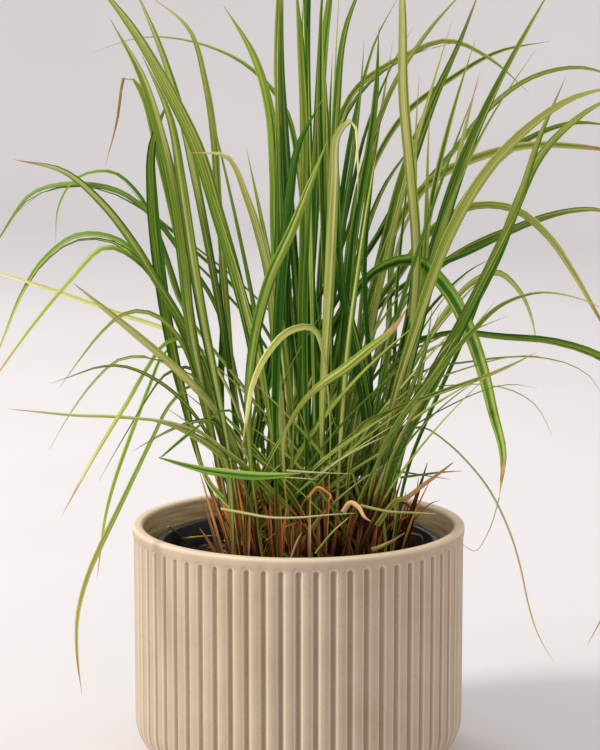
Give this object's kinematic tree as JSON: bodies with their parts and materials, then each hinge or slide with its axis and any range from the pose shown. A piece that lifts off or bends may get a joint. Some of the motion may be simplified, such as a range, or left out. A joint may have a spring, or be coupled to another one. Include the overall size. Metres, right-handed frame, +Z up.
{
  "type": "potted ornamental grass clump",
  "caption": "Fluted round stoneware planter with a nursery pot inside, holding a dense clump of narrow, arching, variegated grass leaves.",
  "frame": {"origin": "centre of the planter's flat foot, on the surface that it stands on", "axes": "+Z up along the planter's axis; -Y towards the side that the clump is seen from"},
  "size_m": [0.4263, 0.35, 0.5168],
  "materials": {
    "stoneware": "matte",
    "pot_plastic": "matte",
    "potting_soil": "matte",
    "old_sheath": "matte",
    "grass_leaf": "satin"
  },
  "bodies": {
    "root": {"planter": "stoneware", "nursery_pot": "pot_plastic", "soil": "potting_soil", "crown": "old_sheath", "leaf_01": "grass_leaf", "leaf_02": "grass_leaf", "leaf_03": "grass_leaf", "leaf_04": "grass_leaf", "leaf_05": "grass_leaf", "leaf_06": "grass_leaf", "leaf_07": "grass_leaf", "leaf_08": "grass_leaf", "leaf_09": "grass_leaf", "leaf_10": "grass_leaf", "leaf_11": "grass_leaf", "leaf_12": "grass_leaf", "leaf_13": "grass_leaf", "leaf_14": "grass_leaf", "leaf_15": "grass_leaf", "leaf_16": "grass_leaf", "leaf_17": "grass_leaf", "leaf_18": "grass_leaf", "leaf_19": "grass_leaf", "leaf_20": "grass_leaf", "leaf_21": "grass_leaf", "leaf_22": "grass_leaf", "leaf_23": "grass_leaf", "leaf_24": "grass_leaf", "leaf_25": "grass_leaf", "leaf_26": "grass_leaf", "leaf_27": "grass_leaf", "leaf_28": "grass_leaf", "leaf_29": "grass_leaf", "leaf_30": "grass_leaf", "leaf_31": "grass_leaf", "leaf_32": "grass_leaf", "leaf_33": "grass_leaf", "leaf_34": "grass_leaf", "leaf_35": "grass_leaf", "leaf_36": "grass_leaf", "leaf_37": "grass_leaf", "leaf_38": "grass_leaf", "leaf_39": "grass_leaf", "leaf_40": "grass_leaf", "leaf_41": "grass_leaf", "leaf_42": "grass_leaf", "leaf_43": "grass_leaf", "leaf_44": "grass_leaf", "leaf_45": "grass_leaf", "leaf_46": "grass_leaf", "leaf_47": "grass_leaf", "leaf_48": "grass_leaf", "leaf_49": "grass_leaf", "leaf_50": "grass_leaf", "leaf_51": "grass_leaf", "leaf_52": "grass_leaf", "leaf_53": "grass_leaf", "leaf_54": "grass_leaf", "leaf_55": "grass_leaf"}
  },
  "joints": []
}
